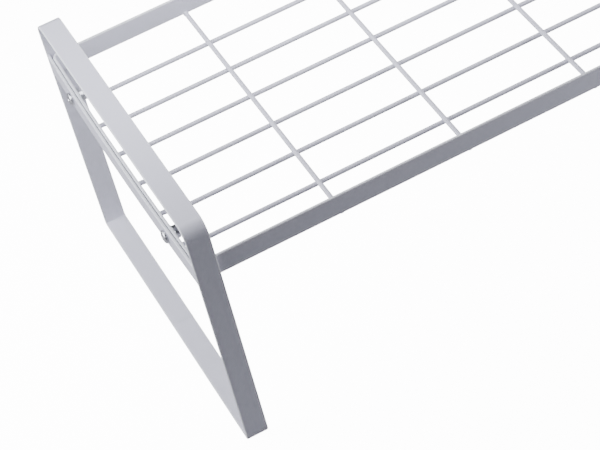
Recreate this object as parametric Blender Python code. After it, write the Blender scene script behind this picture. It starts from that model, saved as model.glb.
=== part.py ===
"""Tiered shelf riser: a wire shelf in a flat-strip rim, bolted between two end frames of bent strip.

Metres, +Z up. The riser stands on z = 0 with its footprint centred on the origin. X runs along
the shelf, Y from the front rail (-Y) to the back rail (+Y).
"""

import math

import bmesh
import bpy

# Overall size
LENGTH = 0.608  # over the outer edges of the two end loops
DEPTH = 0.312  # over the front and back legs
HEIGHT = 0.250  # floor to the top bars

# Flat steel strip, coated, used for the loops, the cross bars and the rim
STRIP_WIDTH = 0.020
STRIP_THICKNESS = 0.0025
STRIP_EDGE_RADIUS = 0.0009
LOOP_TOP_RADIUS = 0.0130  # outer radius of the two bends beside the top bar
LOOP_FOOT_RADIUS = 0.0036  # outer radius of the two tight bends at the floor
RIM_CORNER_RADIUS = 0.0070
RIM_BOTTOM = 0.192  # height of the rim's lower edge above the floor
ARC_STEPS = 6  # straight steps in each bend

# Pulled together by their screws, each cross bar and the end rail inside it bow outwards
END_BOW = 0.0020  # at the middle
BOW_STEPS = 8  # straight steps in half a bow

# Wire grid, its cross wires centred on the level of the rim's lower edge
WIRE_DIAMETER = 0.0042
LONG_WIRES = 6
LONG_WIRE_PITCH = 0.0426
CROSS_WIRES = 4
CROSS_WIRE_PITCH = 0.117
CRANK_START = 0.022  # a long wire turns up this far from its end ...
CRANK_END = 0.006  # ... and is level again from here

# M6 low-head screws and flanged nuts, two to each end
SCREW_SPACING = 0.200
SCREW_SHANK_DIAMETER = 0.0060
SCREW_HEAD_DIAMETER = 0.0116
SCREW_HEAD_HEIGHT = 0.0032
SCREW_HEAD_EDGE = 0.0010  # straight part of the head's side
SCREW_LENGTH = 0.012
SCREW_POINT_CHAMFER = 0.0008
RECESS_SPAN = 0.0060
RECESS_WIDTH = 0.0014
RECESS_DEPTH = 0.0017
HOLE_DIAMETER = 0.0070
HOLE_REACH = 0.012  # of a drilled hole's cutter, each way from the end loop's outer edge
NUT_ACROSS_FLATS = 0.0100
NUT_HEIGHT = 0.0050
NUT_FLANGE_DIAMETER = 0.0140
NUT_FLANGE_HEIGHT = 0.0012
NUT_BORE_DIAMETER = 0.0068

GAP = 0.0003  # clearance between neighbouring pieces
BAR_GAP = 0.0006  # clearance between each cross bar and the end rail bolted to it

# Worked out from the above
RIM_LENGTH = LENGTH - 2 * (STRIP_THICKNESS + BAR_GAP)  # without the bows
RIM_DEPTH = DEPTH - 2 * (STRIP_THICKNESS + GAP)
RIM_CENTRE_Z = RIM_BOTTOM + STRIP_WIDTH / 2
BOW_REACH = RIM_DEPTH / 2 - RIM_CORNER_RADIUS  # from the middle to where the bow starts
CROSS_WIRE_Z = RIM_BOTTOM
LONG_WIRE_Z = CROSS_WIRE_Z - WIRE_DIAMETER - GAP

POWDER_COAT = {"Base Color": (0.76, 0.77, 0.80, 1), "Roughness": 0.42, "Metallic": 0.0}
BRIGHT_ZINC = {"Base Color": (0.72, 0.72, 0.74, 1), "Roughness": 0.22, "Metallic": 1.0}


def clear_scene():
    for obj in list(bpy.data.objects):
        bpy.data.objects.remove(obj)


def make_collection(name):
    collection = bpy.data.collections.new(name)
    bpy.context.scene.collection.children.link(collection)
    return collection


def make_material(name, values):
    material = bpy.data.materials.new(name)
    material.use_nodes = True
    shader = material.node_tree.nodes["Principled BSDF"]
    for socket, value in values.items():
        shader.inputs[socket].default_value = value
    return material


clear_scene()
PARTS = make_collection("tiered_shelf_riser")
HELPERS = make_collection("helpers")
COAT = make_material("powder_coat", POWDER_COAT)
ZINC = make_material("bright_zinc", BRIGHT_ZINC)


def link(obj, parent=None, material=None):
    """Puts a finished piece in the parts collection."""
    PARTS.objects.link(obj)
    obj.parent = parent
    if material:
        obj.data.materials.append(material)
    return obj


def link_helper(obj):
    """Keeps a cutter or a guide out of the finished model."""
    HELPERS.objects.link(obj)
    obj.hide_render = True
    obj.display_type = "WIRE"
    return obj


def make_empty(name, location=(0, 0, 0), turn=0.0):
    empty = bpy.data.objects.new(name, None)
    empty.location = location
    empty.rotation_euler = (0, 0, turn)
    PARTS.objects.link(empty)
    return empty


def mesh_object(name, fill):
    """An object whose mesh is built by fill(bm)."""
    bm = bmesh.new()
    fill(bm)
    bmesh.ops.recalc_face_normals(bm, faces=bm.faces)
    mesh = bpy.data.meshes.new(name)
    bm.to_mesh(mesh)
    bm.free()
    return bpy.data.objects.new(name, mesh)


def corner_arc(centre, radius, start, steps=ARC_STEPS):
    """Points of a quarter circle that turns anticlockwise from the angle start, in degrees."""
    angles = (math.radians(start + 90 * i / steps) for i in range(steps + 1))
    return [(centre[0] + radius * math.cos(a), centre[1] + radius * math.sin(a)) for a in angles]


def rounded_rectangle(low, high, radii, steps=ARC_STEPS):
    """Outline between two corners, anticlockwise. radii: top right, top left, bottom left, bottom right."""
    (x0, y0), (x1, y1) = low, high
    a, b, c, d = radii
    return (
        corner_arc((x1 - a, y1 - a), a, 0, steps)
        + corner_arc((x0 + b, y1 - b), b, 90, steps)
        + corner_arc((x0 + c, y0 + c), c, 180, steps)
        + corner_arc((x1 - d, y0 + d), d, 270, steps)
    )


def bow(y):
    """How far a cross bar and its end rail stand out at this distance from the middle."""
    return END_BOW * max(0.0, 1 - (y / BOW_REACH) ** 2)


def bow_stations(steps=BOW_STEPS):
    """Places along Y between the two starts of a bow."""
    return [BOW_REACH * i / steps for i in range(1 - steps, steps)]


def poly_curve(name, points, cyclic=False):
    """A curve object with one straight-stepped spline through 2D or 3D points."""
    curve = bpy.data.curves.new(name, "CURVE")
    curve.dimensions = "3D" if len(points[0]) == 3 else "2D"
    spline = curve.splines.new("POLY")
    spline.points.add(len(points) - 1)
    for point, place in zip(spline.points, points):
        point.co = (*place, *([0] * (3 - len(place))), 1)
    spline.use_cyclic_u = cyclic
    return bpy.data.objects.new(name, curve)


def as_mesh(curve_object):
    """Replaces a curve object with the closed mesh that it makes."""
    bpy.context.view_layer.update()
    evaluated = curve_object.evaluated_get(bpy.context.evaluated_depsgraph_get())
    mesh = bpy.data.meshes.new_from_object(evaluated)
    bm = bmesh.new()
    bm.from_mesh(mesh)
    bmesh.ops.remove_doubles(bm, verts=bm.verts, dist=1e-6)
    bmesh.ops.recalc_face_normals(bm, faces=bm.faces)
    bm.to_mesh(mesh)
    bm.free()
    name = curve_object.name
    bpy.data.objects.remove(curve_object)
    mesh.name = name
    return bpy.data.objects.new(name, mesh)


STRIP_SECTION = link_helper(
    poly_curve(
        "strip_section",
        rounded_rectangle(
            (-STRIP_THICKNESS / 2, -STRIP_WIDTH / 2),
            (STRIP_THICKNESS / 2, STRIP_WIDTH / 2),
            [STRIP_EDGE_RADIUS] * 4,
            steps=2,
        ),
        cyclic=True,
    )
)


def bent_strip(name, path, closed=True):
    """Strip swept along a path in XY, the middle of its thickness, with its wide face across Z."""
    strip = poly_curve(name, path, cyclic=closed)
    strip.data.bevel_mode = "OBJECT"
    strip.data.bevel_object = STRIP_SECTION
    strip.data.use_fill_caps = not closed
    HELPERS.objects.link(strip)
    return as_mesh(strip)


def hoop_path(low, high, outer_radii):
    """Middle of the thickness of a hoop of strip with these outer sizes."""
    half = STRIP_THICKNESS / 2
    return rounded_rectangle(
        (low[0] + half, low[1] + half),
        (high[0] - half, high[1] - half),
        [radius - half for radius in outer_radii],
    )


def round_bar(name, start, end, diameter, sides):
    """A cylinder between two points that lie on a line along X."""
    bar = mesh_object(
        name,
        lambda bm: bmesh.ops.create_cone(
            bm,
            cap_ends=True,
            segments=sides,
            radius1=diameter / 2,
            radius2=diameter / 2,
            depth=end[0] - start[0],
        ),
    )
    bar.rotation_euler = (0, math.radians(90), 0)
    bar.location = [(a + b) / 2 for a, b in zip(start, end)]
    return bar


def add_boolean(obj, cutter, operation="DIFFERENCE"):
    modifier = obj.modifiers.new("cut " + cutter.name, "BOOLEAN")
    modifier.operation = operation
    modifier.object = cutter


def add_screw_holes(obj, parent, prefix):
    """Drills the two screw holes of one end frame through obj."""
    for place, side in (("front", -1), ("back", 1)):
        y = side * SCREW_SPACING / 2
        start, end = (-HOLE_REACH, y, RIM_CENTRE_Z), (HOLE_REACH, y, RIM_CENTRE_Z)
        hole = round_bar(f"{prefix}_{place}_hole", start, end, HOLE_DIAMETER, 16)
        hole.parent = parent
        add_boolean(obj, link_helper(hole))


def make_end_loop(name, parent):
    """One bent strip: top bar, two legs and the bar that lies on the floor."""
    path = hoop_path(
        (-DEPTH / 2, 0),
        (DEPTH / 2, HEIGHT),
        [LOOP_TOP_RADIUS, LOOP_TOP_RADIUS, LOOP_FOOT_RADIUS, LOOP_FOOT_RADIUS],
    )
    loop = bent_strip(name, path)
    loop.rotation_euler = (math.radians(90), 0, math.radians(90))
    loop.location = (STRIP_WIDTH / 2, 0, 0)
    return link(loop, parent, COAT)


def make_cross_bar(name, parent):
    """The strip on edge, welded in between the two legs, that the shelf is bolted to."""
    end = DEPTH / 2 - STRIP_THICKNESS - GAP
    stations = [-end, -BOW_REACH, *bow_stations(), BOW_REACH, end]
    bar = bent_strip(name, [(STRIP_THICKNESS / 2 - bow(y), y) for y in stations], closed=False)
    bar.location = (0, 0, RIM_CENTRE_Z)
    link(bar, parent, COAT)
    add_screw_holes(bar, parent, name)
    return bar


def head_profile():
    """Radius and depth of a screw's head, from the middle of its crown to the seat."""
    radius, crown = SCREW_HEAD_DIAMETER / 2, SCREW_HEAD_HEIGHT - SCREW_HEAD_EDGE
    arc = [(radius * math.sin(a), crown * (1 - math.cos(a))) for a in (0.0, 0.5, 0.9, 1.25, math.pi / 2)]
    return arc + [(radius, SCREW_HEAD_HEIGHT)]


def make_screw(name, y, parent):
    """A low-head screw whose axis runs along X, head outwards."""
    seat = -bow(SCREW_SPACING / 2 - SCREW_HEAD_DIAMETER / 2) - GAP
    shank = SCREW_SHANK_DIAMETER / 2
    point = SCREW_POINT_CHAMFER
    tip = SCREW_HEAD_HEIGHT + SCREW_LENGTH
    profile = head_profile()
    profile += [(shank, SCREW_HEAD_HEIGHT), (shank, tip - point), (shank - point, tip), (0, tip)]

    def turn(bm):
        verts = [bm.verts.new((radius, 0, -depth)) for radius, depth in profile]
        edges = [bm.edges.new(pair) for pair in zip(verts, verts[1:])]
        bmesh.ops.spin(bm, geom=verts + edges, cent=(0, 0, 0), axis=(0, 0, 1), angle=math.tau, steps=24)
        bmesh.ops.remove_doubles(bm, verts=bm.verts, dist=1e-7)

    screw = mesh_object(name, turn)
    screw.rotation_euler = (0, math.radians(-90), 0)
    screw.location = (seat - SCREW_HEAD_HEIGHT, y, RIM_CENTRE_Z)
    link(screw, parent, ZINC)
    for arm, (wide, high) in enumerate(((RECESS_SPAN, RECESS_WIDTH), (RECESS_WIDTH, RECESS_SPAN))):
        slot = mesh_object(f"{name}_recess_{arm + 1}", lambda bm: bmesh.ops.create_cube(bm, size=1))
        slot.data.transform(((2 * RECESS_DEPTH, 0, 0, 0), (0, wide, 0, 0), (0, 0, high, 0), (0, 0, 0, 1)))
        slot.location = screw.location
        slot.parent = parent
        add_boolean(screw, link_helper(slot))
    return screw


def make_nut(name, y, parent):
    """A hexagon nut with a thin round flange against the rim."""

    def bar(piece, start, end, diameter, sides):
        made = round_bar(piece, (start, y, RIM_CENTRE_Z), (end, y, RIM_CENTRE_Z), diameter, sides)
        made.parent = parent
        return made

    rail_inner_x = 2 * STRIP_THICKNESS + BAR_GAP
    seat = rail_inner_x + GAP - bow(SCREW_SPACING / 2 + NUT_FLANGE_DIAMETER / 2)
    flange_top = seat + NUT_FLANGE_HEIGHT
    across_corners = NUT_ACROSS_FLATS / math.cos(math.radians(30))
    nut = bar(name, seat + NUT_FLANGE_HEIGHT / 2, seat + NUT_HEIGHT, across_corners, 6)
    flange = bar(name + "_flange", seat, flange_top, NUT_FLANGE_DIAMETER, 24)
    bore = bar(name + "_bore", seat - NUT_HEIGHT, seat + 2 * NUT_HEIGHT, NUT_BORE_DIAMETER, 16)
    link(nut, parent, ZINC)
    add_boolean(nut, link_helper(flange), "UNION")
    add_boolean(nut, link_helper(bore))
    return nut


def make_end_frame(side, x, turn):
    """Loop, cross bar, screws and nuts of one end."""
    frame = make_empty(side + "_end", (x, 0, 0), turn)
    make_end_loop(side + "_end_loop", frame)
    make_cross_bar(side + "_cross_bar", frame)
    # The right end is the left one turned half round, so its local front is the riser's back
    for place, y in (("front", -1), ("back", 1)):
        local_y = y * SCREW_SPACING / 2 * math.cos(turn)
        make_screw(f"{side}_{place}_screw", local_y, frame)
        make_nut(f"{side}_{place}_nut", local_y, frame)


def rim_path():
    """Middle of the rim's thickness: four round corners, with the two end rails bowed between them."""
    corners = hoop_path(
        (-RIM_LENGTH / 2, -RIM_DEPTH / 2),
        (RIM_LENGTH / 2, RIM_DEPTH / 2),
        [RIM_CORNER_RADIUS] * 4,
    )
    half_way = len(corners) // 2
    x = (RIM_LENGTH - STRIP_THICKNESS) / 2
    right = [(x + bow(y), y) for y in bow_stations()]
    left = [(-x, -y) for x, y in right]
    return corners[:half_way] + left + corners[half_way:] + right


def make_rim(parent):
    """The strip on edge, bent round four corners, that frames the shelf."""
    rim = bent_strip("shelf_rim", rim_path())
    rim.location = (0, 0, RIM_CENTRE_Z)
    link(rim, parent, COAT)
    for side, x in (("left", -LENGTH / 2), ("right", LENGTH / 2)):
        add_screw_holes(rim, make_empty(f"{side}_holes", (x, 0, 0)), f"rim_{side}")


def make_wire(name, points, parent):
    wire = poly_curve(name, points)
    wire.data.bevel_depth = WIRE_DIAMETER / 2
    wire.data.bevel_resolution = 2
    wire.data.use_fill_caps = True
    return link(wire, parent, COAT)


def make_long_wires(parent):
    """Wires along X below the cross wires, cranked up at each end to butt against the end rails."""
    for i in range(LONG_WIRES):
        y = (i - (LONG_WIRES - 1) / 2) * LONG_WIRE_PITCH
        end = RIM_LENGTH / 2 - STRIP_THICKNESS - GAP + bow(y)
        half_route = [
            (end, CROSS_WIRE_Z),
            (end - CRANK_END, CROSS_WIRE_Z),
            (end - CRANK_START, LONG_WIRE_Z),
        ]
        route = [(-x, z) for x, z in half_route] + half_route[::-1]
        make_wire(f"long_wire_{i + 1}", [(x, y, z) for x, z in route], parent)


def make_cross_wires(parent):
    """Wires along Y that lie on the long wires and butt against the front and back rails."""
    end = RIM_DEPTH / 2 - STRIP_THICKNESS - GAP
    for i in range(CROSS_WIRES):
        x = (i - (CROSS_WIRES - 1) / 2) * CROSS_WIRE_PITCH
        make_wire(f"cross_wire_{i + 1}", [(x, -end, CROSS_WIRE_Z), (x, end, CROSS_WIRE_Z)], parent)


def shade_round():
    for obj in PARTS.objects:
        if obj.type == "MESH":
            obj.data.shade_smooth()
            obj.data.set_sharp_from_angle(angle=math.radians(35))


make_end_frame("left", -LENGTH / 2, 0.0)
make_end_frame("right", LENGTH / 2, math.pi)
SHELF = make_empty("shelf")
make_rim(SHELF)
make_long_wires(SHELF)
make_cross_wires(SHELF)
shade_round()
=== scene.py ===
"""Looks of the tiered shelf riser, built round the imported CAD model. Metres, +Z up.

Every piece is rebuilt with its real surface: strip with rolled edges, bends that bulge a little,
wires welded where they cross, and threaded screws with cross recesses. All of it is steel under
one powder coat, except for the zinc-plated screws and nuts.
"""

import math

import bmesh
import bpy
from mathutils import Matrix, Vector, noise


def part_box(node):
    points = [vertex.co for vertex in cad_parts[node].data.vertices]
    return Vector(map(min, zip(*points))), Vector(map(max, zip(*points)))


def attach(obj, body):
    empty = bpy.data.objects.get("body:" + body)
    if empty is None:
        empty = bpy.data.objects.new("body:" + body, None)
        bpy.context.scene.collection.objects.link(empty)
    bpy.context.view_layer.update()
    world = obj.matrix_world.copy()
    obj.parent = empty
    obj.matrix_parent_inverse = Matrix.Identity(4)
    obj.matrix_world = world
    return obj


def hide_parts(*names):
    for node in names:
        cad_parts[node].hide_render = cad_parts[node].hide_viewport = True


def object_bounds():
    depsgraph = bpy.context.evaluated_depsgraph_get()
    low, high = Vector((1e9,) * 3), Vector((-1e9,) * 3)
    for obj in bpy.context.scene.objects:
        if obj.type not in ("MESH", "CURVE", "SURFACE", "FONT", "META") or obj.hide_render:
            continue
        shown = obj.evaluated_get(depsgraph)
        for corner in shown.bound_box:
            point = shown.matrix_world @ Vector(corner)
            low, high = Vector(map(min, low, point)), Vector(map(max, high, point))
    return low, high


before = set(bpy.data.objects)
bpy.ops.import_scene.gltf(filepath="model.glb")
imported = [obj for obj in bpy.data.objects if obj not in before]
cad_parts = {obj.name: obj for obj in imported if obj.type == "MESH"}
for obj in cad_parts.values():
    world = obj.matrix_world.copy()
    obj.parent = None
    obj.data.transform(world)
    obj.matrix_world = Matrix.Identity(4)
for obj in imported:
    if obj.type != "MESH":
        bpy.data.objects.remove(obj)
CAD_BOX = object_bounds()

# What the CAD boxes don't tell
STRIP_THICKNESS = 0.0025
STRIP_EDGE_RADIUS = 0.0008
LOOP_TOP_RADIUS = 0.0130  # outer radius of the bends beside an end loop's top bar
LOOP_FOOT_RADIUS = 0.0036  # outer radius of the bends at the floor
RIM_CORNER_RADIUS = 0.0070
CRANK_START = 0.022  # a long wire turns up this far from its end ...
CRANK_END = 0.006  # ... and is level again from here

# Screws and nuts
THREAD_PITCH = 0.0010
THREAD_DEPTH = 0.0005
SHANK_RADIUS = 0.0030
HOLE_RADIUS = 0.0035
DRILL_LENGTH = 0.020
HEAD_HEIGHT = 0.0032
HEAD_SIDE = 0.0010  # straight part of a screw head's side
HEAD_LIP = 0.00012  # bevel under the head
CROWN_POINT = 0.00004  # radius of the small flat at the middle of the head's crown
PLAIN_TIP = 0.0007  # end of the shank, without thread
TIP_BEVEL = 0.0004
RECESS_SPAN = 0.0060
RECESS_WIDTH = 0.0014
RECESS_DEPTH = 0.0020
NUT_ACROSS_FLATS = 0.0100
NUT_CHAMFER = 0.0006
NUT_CLEARANCE = 0.0001  # between the thread and the nut's bore
NUT_LEAD_IN = 0.0003  # countersink at both ends of the bore
FLANGE_RIM = 0.0004  # height of the flange's upright rim
FLANGE_SLOPE = 1.6  # inwards for each unit upwards, as for the chamfer
CHAMFER_SLOPE = 1.7
CHAMFER_TOP = 0.95  # radius of the chamfer at the top, of half the width across flats
NUT_SHARP = 28.0  # degrees, less than SHARP, to crease the chamfer where it meets the top
SCREW_TURNS = (("front", 24.0), ("back", 61.0))  # degrees, as if each was tightened by hand
SIDE_TURN = 17.0  # degrees more at the right end, and fewer at the left

# Welds
SEAM_HEIGHT = 0.00016  # butt weld of an end loop or the rim
SEAM_WIDTH = 0.0011
SEAM_SPREAD = 0.0022  # of its rough, duller coat
SEAM_REACH = 0.0035  # rings are close together this far on both sides
CROSSING_WELD = 0.00024  # how far two welded wires swell towards each other
CROSSING_WIDTH = 0.0016
RAIL_WELD = 0.00060  # how far a wire swells against a rail
RAIL_WELD_WIDTH = 0.0009
WIRE_WELD_REACH = 0.0030
WIRE_REACH = 0.0004  # past the end of its CAD box, into the weld
BAR_SEAM = Vector((0.0007, 0.0007, 0.0092))  # half sizes of the bead down a cross bar's end
BAR_SEAM_INSET = 0.0004  # in from the cross bar's outer face
BAR_CORNER = Vector((0.0012, 0.0014, 0.0009))  # half sizes of the beads above and below it
BAR_CORNER_INSET = 0.0012
SEAM_GRAIN = 900.0  # scale of a butt weld's lumps, per metre
WIRE_GRAIN = 1300.0  # and of those on the wires
BEAD_GRAIN = 300.0  # moves a bead's lumps with its place, so that the beads differ

# Surface detail
SHARP = 35.0  # degrees: an edge bent more than this is shaded as a crease
ARC_STEPS = 12
COARSE_STEP = 0.030  # between rings along a plain straight stretch
FINE_STEP = 0.0005  # between rings across a weld
EDGE_STEPS = 5
SUPPORT = 0.00015  # a ring of points this close to each rolled edge keeps the flats flat
BEND_BULGE = 0.10  # of the thickness, at each edge inside a bend whose radius is the thickness
BAR_END_ROUND = 0.0006
WIRE_SIDES = 24
WIRE_END_ROUND = 0.0002
FAR = 1.0  # a distance from which no weld shows
SAME_RING = 0.00001  # rings nearer than this to a stretch's end are left out

FLOOR_DROP = 0.0002  # keeps the floor clear of the undersides that stand on it
FLOOR_REACH = 30.0  # half the floor's width
FLOOR_GLOW = 13.0
BACKGROUND_GLOW = 14.0
AMBIENT = 0.02
SOFTBOX_COLOUR = (0.92, 0.94, 1.0)

CAMERA_PLACE = (-0.55031, -1.30967, 1.38735)
CAMERA_TURN = (44.5076, 10.3700, -26.6727)  # degrees, XYZ
CAMERA_LENS = 130.444  # mm
SENSOR_WIDTH = 36.0  # mm

UP = Vector((0, 0, 1))


# ---------------------------------------------------------------- materials


class Nodes:
    """A short way to build a material's node tree."""

    def __init__(self, name):
        self.material = bpy.data.materials.new(name)
        self.material.use_nodes = True
        self.tree = self.material.node_tree
        self.shader = self.tree.nodes["Principled BSDF"]

    def add(self, kind, values=None, **settings):
        node = self.tree.nodes.new("ShaderNode" + kind)
        for name, value in settings.items():
            setattr(node, name, value)
        for socket, value in (values or {}).items():
            if isinstance(value, bpy.types.NodeSocket):
                self.tree.links.new(value, node.inputs[socket])
            else:
                node.inputs[socket].default_value = value
        return node

    def feed(self, socket, value):
        self.tree.links.new(value, self.shader.inputs[socket])

    def place(self):
        return self.add("TexCoord").outputs["Object"]

    def noise(self, scale, detail=2.0, roughness=0.5):
        values = {"Vector": self.place(), "Scale": scale, "Detail": detail, "Roughness": roughness}
        return self.add("TexNoise", values).outputs["Fac"]

    def spread(self, value, low, high):
        """value, from 0 to 1, spread over low to high."""
        return self.add("MapRange", {"Value": value, "To Min": low, "To Max": high}).outputs["Result"]

    def maths(self, operation, first, second):
        return self.add("Math", {0: first, 1: second}, operation=operation).outputs["Value"]

    def mark(self, name):
        return self.add("Attribute", attribute_name=name).outputs["Fac"]

    def blend(self, factor, first, second):
        node = self.add("Mix", {"Factor": factor}, data_type="RGBA")
        for socket, colour in ((node.inputs["A"], first), (node.inputs["B"], second)):
            if isinstance(colour, bpy.types.NodeSocket):
                self.tree.links.new(colour, socket)
            else:
                socket.default_value = (*colour, 1)
        return node.outputs["Result"]

    def bump(self, height, strength, distance, below=None):
        values = {"Height": height, "Strength": strength, "Distance": distance}
        if below:
            values["Normal"] = below
        return self.add("Bump", values).outputs["Normal"]


def make_powder_coat():
    """Pale cool grey coat: fine orange peel, slow drift in tone, a painted highlight that makes the rolled
    edges paler, rougher on welds.
    """
    made = Nodes("powder_coat")
    made.shader.inputs["Coat Weight"].default_value = 0.25
    made.shader.inputs["Coat Roughness"].default_value = 0.18
    drift = made.noise(11.0, 3.0)
    speckle = made.noise(1500.0, 1.0)
    tone = made.blend(drift, (0.690, 0.683, 0.770), (0.730, 0.722, 0.805))
    tone = made.blend(made.spread(speckle, 0.0, 0.12), tone, (0.61, 0.605, 0.69))
    # Painted highlight: every rolled edge and sheared bar end is made paler, as if it caught the light.
    tone = made.blend(made.maths("MULTIPLY", made.mark("edge"), 0.85), tone, (0.91, 0.912, 0.94))
    tone = made.blend(made.maths("MULTIPLY", made.mark("weld"), 0.30), tone, (0.60, 0.61, 0.65))
    made.feed("Base Color", tone)
    sheen = made.spread(made.noise(60.0, 4.0), 0.34, 0.46)
    made.feed("Roughness", made.maths("ADD", sheen, made.maths("MULTIPLY", made.mark("weld"), 0.12)))
    peel = made.bump(made.noise(750.0, 2.0, 0.6), 0.35, 0.00005)
    grain = made.bump(made.noise(2600.0, 1.0), 0.25, 0.00002, peel)
    lumps = made.maths("MULTIPLY", made.noise(1100.0, 2.0), made.mark("weld"))
    made.feed("Normal", made.bump(lumps, 0.7, 0.00025, grain))
    return made.material


def make_zinc():
    """Bright zinc plate: a soft metal shine, with faint cloudiness and fine grain."""
    made = Nodes("bright_zinc")
    made.shader.inputs["Metallic"].default_value = 1.0
    made.feed("Base Color", made.blend(made.noise(420.0, 3.0), (0.66, 0.665, 0.69), (0.82, 0.82, 0.83)))
    made.feed("Roughness", made.spread(made.noise(900.0, 4.0), 0.20, 0.36))
    made.feed("Normal", made.bump(made.noise(2400.0, 3.0), 0.25, 0.00003))
    return made.material


POWDER_COAT = make_powder_coat()
ZINC = make_zinc()


# ---------------------------------------------------------------- meshes


class Point:
    """A point of a surface, with how far it counts as a rolled edge and as a weld, from 0 to 1. The edge
    share carries a painted highlight in the coat.
    """

    def __init__(self, place, edge=0.0, weld=0.0):
        self.place = Vector(place)
        self.edge = edge
        self.weld = weld


def finish_mesh(name, bm, sharp=SHARP):
    bmesh.ops.recalc_face_normals(bm, faces=bm.faces)
    mesh = bpy.data.meshes.new(name)
    bm.to_mesh(mesh)
    bm.free()
    mesh.shade_smooth()
    mesh.set_sharp_from_angle(angle=math.radians(sharp))
    return mesh


def skin(name, rings, closed=False, sharp=SHARP):
    """A mesh through rings of Points. closed joins the last ring to the first, else the ends are capped."""
    bm = bmesh.new()
    edge = bm.verts.layers.float.new("edge")
    weld = bm.verts.layers.float.new("weld")
    rows = []
    for ring in rings:
        row = []
        for point in ring:
            vert = bm.verts.new(point.place)
            vert[edge] = point.edge
            vert[weld] = point.weld
            row.append(vert)
        rows.append(row)
    pairs = list(zip(rows, rows[1:]))
    if closed:
        pairs.append((rows[-1], rows[0]))
    for first, second in pairs:
        for i in range(len(first)):
            bm.faces.new((first[i - 1], first[i], second[i], second[i - 1]))
    if not closed:
        bm.faces.new(rows[0])
        bm.faces.new(rows[-1])
    return finish_mesh(name, bm, sharp)


def show(name, mesh, material, slot, *nodes):
    """Puts a piece in the scene, on the one body, in place of these CAD nodes."""
    piece = bpy.data.objects.new(name, mesh)
    bpy.context.scene.collection.objects.link(piece)
    mesh.materials.append(material)
    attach(piece, "root")
    if nodes:
        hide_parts(*nodes)
    return piece


def show_coated(name, mesh, *nodes):
    return show(name, mesh, POWDER_COAT, "powder_coat", *nodes)


def cut(mesh, cutters):
    """mesh with these cutter meshes taken away."""
    body = bpy.data.objects.new("body", mesh)
    bpy.context.scene.collection.objects.link(body)
    tools = []
    for cutter in cutters:
        tool = bpy.data.objects.new("cutter", cutter)
        bpy.context.scene.collection.objects.link(tool)
        modifier = body.modifiers.new("cut", "BOOLEAN")
        modifier.object = tool
        tools.append(tool)
    bpy.context.view_layer.update()
    done = bpy.data.meshes.new_from_object(body.evaluated_get(bpy.context.evaluated_depsgraph_get()))
    for helper in [body, *tools]:
        bpy.data.objects.remove(helper)
    done.set_sharp_from_angle(angle=math.radians(SHARP))
    return done


def centre_of(node):
    """The middle of a CAD node's box."""
    return sum(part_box(node), Vector()) / 2


def drills(screws):
    """Cylinder meshes along X, to drill the hole for each of these CAD screws."""
    made = []
    for screw in screws:
        bm = bmesh.new()
        stand = Matrix.Translation(centre_of(screw)) @ Matrix.Rotation(math.radians(90), 4, "Y")
        bmesh.ops.create_cone(
            bm,
            cap_ends=True,
            segments=32,
            radius1=HOLE_RADIUS,
            radius2=HOLE_RADIUS,
            depth=DRILL_LENGTH,
            matrix=stand,
        )
        made.append(finish_mesh("drill", bm))
    return made


def distances(start, end, features=(), reach=SEAM_REACH):
    """Where rings go along a straight stretch: widely spaced, but close together round each feature."""
    steps = max(1, math.ceil((end - start) / COARSE_STEP))
    wanted = [start + (end - start) * i / steps for i in range(1, steps)]
    count = round(reach / FINE_STEP)
    near = [f + i * FINE_STEP for f in features for i in range(-count, count + 1)]
    near = [s for s in near if start + SAME_RING < s < end - SAME_RING]
    wanted = [s for s in wanted if all(abs(s - n) > FINE_STEP / 2 for n in near)]
    return [start, *sorted(set(round(s, 6) for s in wanted + near)), end]


def swell(distance, width):
    """A bump of height 1 that fades out over about twice this width."""
    return math.exp(-((distance / width) ** 2))


# ---------------------------------------------------------------- flat strip


def strip_section(thickness, width, inset=0.0):
    """Outline of a strip with rolled edges, as (across, along, edge) with across in its thickness."""
    half = (thickness / 2 - inset, width / 2 - inset)
    radius = max(STRIP_EDGE_RADIUS - inset, 0.0002)
    outline = []
    for quarter, (sx, sy) in enumerate(((1, 1), (-1, 1), (-1, -1), (1, -1))):
        centre = (sx * (half[0] - radius), sy * (half[1] - radius))
        arc = []
        for i in range(EDGE_STEPS + 1):
            a = math.radians(90 * (quarter + i / EDGE_STEPS))
            arc.append((centre[0] + radius * math.cos(a), centre[1] + radius * math.sin(a), 1.0))
        # A support point on the wide face beside the arc. The narrow side needs none.
        beside = (sx * half[0], sy * (half[1] - radius - SUPPORT), 0.0)
        outline += [beside, *arc] if sx * sy > 0 else [*arc, beside]
    return outline


def hoop_path(low, high, radii):
    """Stations of a closed hoop's centre line, anticlockwise from the middle of its low side.

    radii: low right, high right, high left, low left. Each station is (point, normal, bend, seam):
    bend is how tightly it curves, and seam the distance from the butt weld at the start.
    """
    (x0, y0), (x1, y1) = low, high
    corners = (((x1, y0), (-1, 1)), ((x1, y1), (-1, -1)), ((x0, y1), (1, -1)), ((x0, y0), (1, 1)))
    start = Vector(((x0 + x1) / 2, y0))
    here = start
    stations = []
    for i, ((cx, cy), (ix, iy)) in enumerate(corners):
        r = radii[i]
        centre = Vector((cx + ix * r, cy + iy * r))
        first = math.radians(90 * (i - 1))
        normal = Vector((math.cos(first), math.sin(first)))
        there = centre + normal * r
        length = (there - here).length
        for s in distances(0.0, length, [0.0] if i == 0 else [])[:-1]:
            seam = s if i == 0 else FAR
            stations.append((here + (there - here) * (s / length), normal, 0.0, seam))
        for k in range(ARC_STEPS + 1):
            a = first + math.radians(90) * k / ARC_STEPS
            normal = Vector((math.cos(a), math.sin(a)))
            bend = math.sin(math.pi * k / ARC_STEPS) ** 0.5 / r if 0 < k < ARC_STEPS else 0.0
            stations.append((centre + normal * r, normal, bend, FAR))
        here = stations.pop()[0]  # the next straight stretch starts with this one
        last_normal = normal
    length = (start - here).length
    for s in distances(0.0, length, [length])[:-1]:
        stations.append((here + (start - here) * (s / length), last_normal, 0.0, length - s))
    return stations


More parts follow.
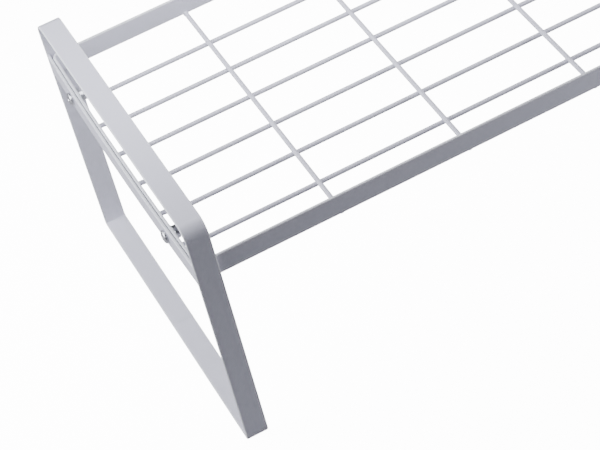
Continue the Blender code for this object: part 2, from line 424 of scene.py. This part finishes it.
def bent_strip(name, low, high, outer_radii, width, to_world, flush_below=False):
    """A closed hoop of strip. to_world turns (in the hoop's plane x, y, across its width) into a place.

    flush_below leaves the outer face flat at the butt weld, which then shows on the inside only.
    """
    half = STRIP_THICKNESS / 2
    path = hoop_path(
        (low[0] + half, low[1] + half),
        (high[0] - half, high[1] - half),
        [radius - half for radius in outer_radii],
    )
    section = strip_section(STRIP_THICKNESS, width)
    rings = []
    for place, normal, bend, seam in path:
        bulge = BEND_BULGE * STRIP_THICKNESS**2 * bend
        ridge = swell(seam, SEAM_WIDTH)
        ring = []
        for across, along, edge in section:
            side = math.copysign(1.0, along)
            rough = 0.6 + 0.8 * noise.noise(Vector((along, across, seam)) * SEAM_GRAIN)
            lift = SEAM_HEIGHT * ridge * rough
            if flush_below and across > 0:
                lift = 0.0
            across += math.copysign(lift, across)
            along += side * (lift * 0.5 - bulge * across / half)
            point = place + normal * across
            ring.append(Point(to_world(point.x, point.y, along), edge, swell(seam, SEAM_SPREAD)))
        rings.append(ring)
    return skin(name, rings, closed=True)


def straight_strip(name, low, high, bow):
    """A strip on edge along Y in the box low to high, its sheared ends rounded over, bowed along X."""
    centre = (low + high) / 2
    thickness, length, width = high - low
    stops = []
    for i in range(5):
        a = math.radians(90 * i / 4)
        stops.append((BAR_END_ROUND * (1 - math.sin(a)), BAR_END_ROUND * (1 - math.cos(a))))
    inner = distances(-length / 2 + BAR_END_ROUND, length / 2 - BAR_END_ROUND)[1:-1]
    rows = [(-length / 2 + d, inset) for inset, d in stops]
    rows += [(y, 0.0) for y in inner]
    rows += [(length / 2 - d, inset) for inset, d in reversed(stops)]
    rings = []
    for y, inset in rows:
        ring = []
        for across, along, edge in strip_section(thickness, width, inset):
            place = centre + Vector((across + bow(y), y, along))
            ring.append(Point(place, 1.0 if inset > 0 else edge))
        rings.append(ring)
    return skin(name, rings)


# ---------------------------------------------------------------- wires


def wire(route, radius, welds):
    """A round wire through route, a list of (distance, place).

    welds: (distance, side, height, width), where side is 1 above, -1 below and 0 all round.
    """
    rings = []
    total = route[-1][0]
    for stop, (distance, place) in enumerate(route):
        forward = direction(route, stop)
        across = forward.cross(UP).normalized()
        up = across.cross(forward)
        short = max(0.0, WIRE_END_ROUND - min(distance, total - distance))
        shrink = WIRE_END_ROUND - math.sqrt(WIRE_END_ROUND**2 - short**2)
        ring = []
        for i in range(WIRE_SIDES):
            a = math.tau * i / WIRE_SIDES
            r = radius - shrink
            weld = 0.0
            for centre, side, height, width in welds:
                facing = max(0.0, side * math.cos(a)) ** 1.5 if side else 1.0
                amount = swell(distance - centre, width)
                grain = 1 + 0.25 * noise.noise(place * WIRE_GRAIN + Vector((math.cos(a), math.sin(a), side)))
                r += height * amount * facing * grain
                weld = max(weld, amount * facing)
            ring.append(Point(place + up * (r * math.cos(a)) + across * (r * math.sin(a)), 0.0, weld))
        rings.append(ring)
    return skin("wire", rings)


def direction(route, stop):
    """Direction of a route at one of its stops, from the stop before to the stop after."""
    before = route[max(stop - 1, 0)][1]
    after = route[min(stop + 1, len(route) - 1)][1]
    return (after - before).normalized()


def wire_stops(length, welds):
    """Ring distances along a wire: close together at its rounded ends and at its welds."""
    features = [weld[0] for weld in welds]
    ends = [WIRE_END_ROUND * share for share in (0.0, 0.15, 0.4, 1.0)]
    inner = distances(ends[-1], length - ends[-1], features, reach=WIRE_WELD_REACH)
    return ends[:-1] + inner + [length - e for e in reversed(ends[:-1])]


# ---------------------------------------------------------------- screws and nuts


def turned(name, rows, sides, closed=False, sharp=SHARP):
    """A turned mesh about Z. rows: (height, radius) or (height, function of the angle)."""
    rings = []
    for height, radius in rows:
        ring = []
        for i in range(sides):
            a = math.tau * i / sides
            r = radius(a, height) if callable(radius) else radius
            ring.append(Point((r * math.cos(a), r * math.sin(a), height)))
        rings.append(ring)
    return skin(name, rings, closed, sharp)


def thread(a, height):
    """Radius of a thread at this angle and height. Crest and root are each flat for a tenth of the pitch."""
    phase = (height / THREAD_PITCH - a / math.tau) % 1.0
    flank = abs(2 * phase - 1)
    return SHANK_RADIUS - THREAD_DEPTH * min(1.0, max(0.0, 1.25 * flank - 0.125))


def recess_cutters(top):
    """The four arms of a cross recess, as two cutters that taper downwards from just above the top."""
    made = []
    for turn in (0, 90):
        bm = bmesh.new()
        bmesh.ops.create_cube(bm, size=1)
        for vert in bm.verts:
            deep = vert.co.z < 0
            vert.co.x *= RECESS_SPAN * (0.36 if deep else 1.10)
            vert.co.y *= RECESS_WIDTH * (0.62 if deep else 1.06)
            vert.co.z = top - RECESS_DEPTH if deep else top + 0.0004
        bm.transform(Matrix.Rotation(math.radians(turn), 4, "Z"))
        made.append(finish_mesh("recess", bm))
    return made


def screw_mesh(head_radius, length):
    """A low-headed screw about Z, its head up, with the crown at height 0."""
    crown = HEAD_HEIGHT - HEAD_SIDE
    rows = [(0.0, CROWN_POINT)]
    for i in range(1, 9):
        a = math.radians(90 * i / 8)
        rows.append((-crown * (1 - math.cos(a)), head_radius * math.sin(a)))
    rows.append((-HEAD_HEIGHT + HEAD_LIP, head_radius))
    rows.append((-HEAD_HEIGHT, head_radius - HEAD_LIP))
    rows.append((-HEAD_HEIGHT, SHANK_RADIUS))
    step = THREAD_PITCH / 8
    count = int((length - HEAD_HEIGHT - PLAIN_TIP) / step)
    rows += [(-HEAD_HEIGHT - step * (i + 1), thread) for i in range(count)]
    rows.append((TIP_BEVEL - length, SHANK_RADIUS - THREAD_DEPTH))
    rows.append((-length, SHANK_RADIUS - 2.4 * THREAD_DEPTH))
    return cut(turned("screw", rows, 40), recess_cutters(0.0))


def nut_mesh(flange_radius, height):
    """A flanged hexagon nut about Z, standing on its flange at height 0."""
    flat = NUT_ACROSS_FLATS / 2
    bore = SHANK_RADIUS + NUT_CLEARANCE

    def hexagon(a, z):
        side = flat / math.cos((a % (math.pi / 3)) - math.pi / 6)
        cone = flat * CHAMFER_TOP + max(0.0, height - z) * CHAMFER_SLOPE
        return min(side, cone)

    def flange(a, z):
        return max(hexagon(a, z), flange_radius - 0.00018 - FLANGE_SLOPE * max(0.0, z - FLANGE_RIM))

    rows = [(0.0, bore + NUT_LEAD_IN), (0.0, flange_radius - 0.00012), (0.00012, flange_radius)]
    rows += [(FLANGE_RIM, flange_radius - 0.00005)]
    rows += [(FLANGE_RIM + 0.00016 * i, flange) for i in range(1, 6)]
    rows += [(height - NUT_CHAMFER + NUT_CHAMFER * i / 5, hexagon) for i in range(6)]
    rows += [(height, bore + NUT_LEAD_IN), (height - NUT_LEAD_IN, bore), (NUT_LEAD_IN, bore)]
    return turned("nut", rows, 72, closed=True, sharp=NUT_SHARP)


# ---------------------------------------------------------------- the riser


def measure_bow():
    """How far the cross bars bow outwards, and how far from the middle the bow starts."""
    bar_low, bar_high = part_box("left_cross_bar")
    rim_low, rim_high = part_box("shelf_rim")
    reach = (rim_high.y - rim_low.y) / 2 - RIM_CORNER_RADIUS
    return bar_high.x - bar_low.x - STRIP_THICKNESS, reach


BOW, BOW_REACH = measure_bow()


def end_bow(y):
    """How far the end rails and cross bars stand out at y, between the rim's corners."""
    return BOW * max(0.0, 1 - (y / BOW_REACH) ** 2)


def make_end(side, outward):
    """One end: the loop, the cross bar welded in between its legs, and the screws and nuts."""
    low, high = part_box(f"{side}_end_loop")
    middle = (low.x + high.x) / 2
    radii = [LOOP_FOOT_RADIUS, LOOP_TOP_RADIUS, LOOP_TOP_RADIUS, LOOP_FOOT_RADIUS]
    loop = bent_strip(
        "loop",
        (low.y, low.z),
        (high.y, high.z),
        radii,
        high.x - low.x,
        lambda y, z, across: (middle + across, y, z),
        flush_below=True,
    )
    show_coated(f"{side}_loop", loop, f"{side}_end_loop")
    bar_low, bar_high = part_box(f"{side}_cross_bar")
    if outward > 0:
        bar_high.x -= BOW
    else:
        bar_low.x += BOW
    strip = straight_strip("bar", bar_low, bar_high, lambda y: outward * end_bow(y))
    screws = [f"{side}_{place}_screw" for place, _ in SCREW_TURNS]
    show_coated(f"{side}_bar", cut(strip, drills(screws)), f"{side}_cross_bar")
    make_bar_welds(side, outward, bar_low, bar_high)
    for place, turn in SCREW_TURNS:
        make_screw(f"{side}_{place}", outward, turn + SIDE_TURN * outward)
        make_nut(f"{side}_{place}", outward, turn)


def make_bar_welds(side, outward, low, high):
    """Weld beads between each end of the cross bar and its leg: down the seam, and at both its ends."""
    edge_x = high.x if outward > 0 else low.x
    level = (low.z + high.z) / 2
    for place, y in (("front", low.y), ("back", high.y)):
        seam = Vector((edge_x - outward * BAR_SEAM_INSET, y, level))
        show_coated(f"{side}_{place}_seam", bead(seam, BAR_SEAM))
        for end, z in (("low", low.z), ("high", high.z)):
            corner = Vector((edge_x - outward * BAR_CORNER_INSET, y, z))
            show_coated(f"{side}_{place}_weld_{end}", bead(corner, BAR_CORNER))


def bead(centre, size):
    """A lumpy weld bead. size: half its width along X, Y and Z."""
    bm = bmesh.new()
    bmesh.ops.create_icosphere(bm, subdivisions=4, radius=1.0)
    weld = bm.verts.layers.float.new("weld")
    for vert in bm.verts:
        lump = 1 + 0.10 * noise.noise(vert.co * 2.2 + centre * BEAD_GRAIN) + 0.04 * noise.noise(vert.co * 6)
        vert.co = centre + vert.co * size * lump
        vert[weld] = 1.0
    return finish_mesh("bead", bm)


def measure_round(node, outward):
    """Radius and length of a round CAD node along X, and the middle of its outward face."""
    low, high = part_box(node)
    face = centre_of(node)
    face.x = high.x if outward > 0 else low.x
    return (high.y - low.y) / 2, high.x - low.x, face


def make_screw(place, outward, turn):
    head_radius, length, crown = measure_round(f"{place}_screw", outward)
    mesh = screw_mesh(head_radius, length)
    mesh.transform(facing_x(crown, outward, turn))
    show(f"{place}_bolt", mesh, ZINC, "bright_zinc", f"{place}_screw")


def make_nut(place, outward, turn):
    flange_radius, height, seat = measure_round(f"{place}_nut", outward)
    mesh = nut_mesh(flange_radius, height)
    mesh.transform(facing_x(seat, -outward, turn))
    show(f"{place}_flange_nut", mesh, ZINC, "bright_zinc", f"{place}_nut")


def facing_x(place, sign, turn):
    """Turns +Z to +X or -X after a turn about Z in degrees, and moves the origin to place."""
    stand = Matrix.Rotation(math.radians(90 * sign), 4, "Y")
    return Matrix.Translation(place) @ stand @ Matrix.Rotation(math.radians(turn), 4, "Z")


def make_rim():
    """The shelf's rim: one closed strip on edge, its butt weld in the middle of the back rail."""
    low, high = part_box("shelf_rim")
    level = (low.z + high.z) / 2
    rim = bent_strip(
        "rim",
        (low.x + BOW, -high.y),
        (high.x - BOW, -low.y),
        [RIM_CORNER_RADIUS] * 4,
        high.z - low.z,
        lambda x, y, across: (x + math.copysign(end_bow(y), x), -y, level + across),
    )
    screws = [f"{side}_{place}_screw" for side in ("left", "right") for place, _ in SCREW_TURNS]
    show_coated("rim", cut(rim, drills(screws)), "shelf_rim")


def named_boxes(stem):
    """CAD boxes of stem_1, stem_2 and so on, in order."""
    names = sorted(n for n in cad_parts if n.startswith(stem))
    return [(name, *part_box(name)) for name in names]


def make_wires():
    long_wires = named_boxes("long_wire_")
    cross_wires = named_boxes("cross_wire_")
    long_ys = [centre_of(name).y for name, _, _ in long_wires]
    cross_xs = [centre_of(name).x for name, _, _ in cross_wires]
    for name, low, high in cross_wires:
        make_cross_wire(name, low, high, long_ys)
    for name, low, high in long_wires:
        make_long_wire(name, low, high, cross_xs)


def make_cross_wire(name, low, high, long_ys):
    """A straight wire along Y, with the long wires at these y welded on below it."""
    centre = centre_of(name)
    start = low.y - WIRE_REACH
    length = high.y - low.y + 2 * WIRE_REACH
    welds = wire_welds(length, [y - start for y in long_ys], -1)
    route = [(s, Vector((centre.x, start + s, centre.z))) for s in wire_stops(length, welds)]
    show_coated(name.replace("_wire", "_rod"), wire(route, (high.z - low.z) / 2, welds), name)


def make_long_wire(name, low, high, cross_xs):
    """A wire along X, cranked up at both ends, with the cross wires at these x welded on above it."""
    radius = (high.y - low.y) / 2
    level = low.z + radius
    raised = high.z - radius
    start = low.x - WIRE_REACH
    length = high.x - low.x + 2 * WIRE_REACH
    welds = wire_welds(length, [x - start for x in cross_xs], 1)
    crank = crank_distances(length)
    stops = [s for s in wire_stops(length, welds) if all(abs(s - c) > FINE_STEP for c in crank)]
    route = []
    for s in sorted(stops + crank):
        z = raised + (level - raised) * lowered(s, length)
        route.append((s, Vector((start + s, centre_of(name).y, z))))
    show_coated(name.replace("_wire", "_rod"), wire(route, radius, welds), name)


def wire_welds(length, crossings, side):
    """Welds of a wire: where it crosses others, on the side given, and all round its two ends."""
    welds = [(s, side, CROSSING_WELD, CROSSING_WIDTH) for s in crossings]
    return welds + [(s, 0, RAIL_WELD, RAIL_WELD_WIDTH) for s in (0.0, length)]


def crank_distances(length):
    """Ring distances over the two cranks of a long wire."""
    steps = 14
    spans = [CRANK_END + (CRANK_START - CRANK_END) * i / steps for i in range(steps + 1)]
    return spans + [length - s for s in spans]


def lowered(distance, length):
    """How far a long wire is down its crank, from 0 against the end rail to 1 on the level."""
    share = (min(distance, length - distance) - CRANK_END) / (CRANK_START - CRANK_END)
    share = min(1.0, max(0.0, share))
    return share * share * (3 - 2 * share)


# ---------------------------------------------------------------- floor, light and camera


def make_floor():
    """A wide pale floor, bright to the eye and grey to the light that it throws back."""
    bm = bmesh.new()
    bmesh.ops.create_grid(bm, x_segments=1, y_segments=1, size=FLOOR_REACH)
    floor = bpy.data.objects.new("floor", finish_mesh("floor", bm))
    bpy.context.scene.collection.objects.link(floor)
    floor.location.z = CAD_BOX[0].z - FLOOR_DROP
    made = Nodes("floor")
    made.tree.nodes.remove(made.shader)
    seen = made.add("LightPath").outputs["Is Camera Ray"]
    grey = made.add("BsdfDiffuse", {"Color": (0.35, 0.35, 0.36, 1)}).outputs["BSDF"]
    white = made.add("BsdfDiffuse", {"Color": (0.85, 0.85, 0.85, 1)}).outputs["BSDF"]
    glow = made.add("Emission", {"Color": (1, 1, 1, 1), "Strength": FLOOR_GLOW}).outputs["Emission"]
    pale = made.add("AddShader", {0: white, 1: glow}).outputs["Shader"]
    mixed = made.add("MixShader", {0: seen, 1: grey, 2: pale}).outputs["Shader"]
    made.tree.links.new(mixed, made.tree.nodes["Material Output"].inputs["Surface"])
    floor.data.materials.append(made.material)


def make_world():
    """A background white to the eye, which throws almost no light."""
    world = bpy.data.worlds.new("studio")
    bpy.context.scene.world = world
    world.use_nodes = True
    tree = world.node_tree
    seen = tree.nodes.new("ShaderNodeLightPath").outputs["Is Camera Ray"]
    back = tree.nodes["Background"]
    back.inputs["Color"].default_value = (0.93, 0.96, 1.0, 1)
    back.inputs["Strength"].default_value = AMBIENT
    white = tree.nodes.new("ShaderNodeBackground")
    white.inputs["Strength"].default_value = BACKGROUND_GLOW
    mix = tree.nodes.new("ShaderNodeMixShader")
    tree.links.new(seen, mix.inputs[0])
    tree.links.new(back.outputs[0], mix.inputs[1])
    tree.links.new(white.outputs[0], mix.inputs[2])
    tree.links.new(mix.outputs[0], tree.nodes["World Output"].inputs["Surface"])


def make_softbox(name, place, target, size, power):
    """A soft rectangular light at place, turned to target. size in metres, power in watts."""
    light = bpy.data.lights.new(name, "AREA")
    light.shape = "RECTANGLE"
    light.size, light.size_y = size
    light.energy = power
    light.color = SOFTBOX_COLOUR
    lamp = bpy.data.objects.new(name, light)
    lamp.location = place
    lamp.rotation_euler = (Vector(target) - Vector(place)).to_track_quat("-Z", "Y").to_euler()
    bpy.context.scene.collection.objects.link(lamp)


def make_lights():
    make_softbox("left", (-1.25, 0.05, 0.70), (0, 0, 0.15), (0.8, 0.8), 21.0)
    make_softbox("rear left", (-0.68, 0.42, 0.52), (-0.3, 0.1, 0.2), (0.4, 0.4), 1.7)
    make_softbox("overhead", (0.05, -0.04, 0.56), (0, 0.35, 0.05), (1.0, 0.12), 1.5)
    make_softbox("rear overhead", (-0.10, 0.02, 0.52), (-0.1, 0.4, 0.05), (0.8, 0.12), 2.2)
    make_softbox("right", (0.85, -0.42, 0.32), (0.2, -0.1, 0.2), (0.4, 0.4), 9.1)


def make_camera():
    camera = bpy.data.cameras.new("camera")
    camera.lens = CAMERA_LENS
    camera.sensor_width = SENSOR_WIDTH
    holder = bpy.data.objects.new("camera", camera)
    holder.location = CAMERA_PLACE
    holder.rotation_euler = [math.radians(a) for a in CAMERA_TURN]
    bpy.context.scene.collection.objects.link(holder)
    bpy.context.scene.camera = holder


make_end("left", -1)
make_end("right", 1)
make_rim()
make_wires()
make_floor()
make_world()
make_lights()
make_camera()
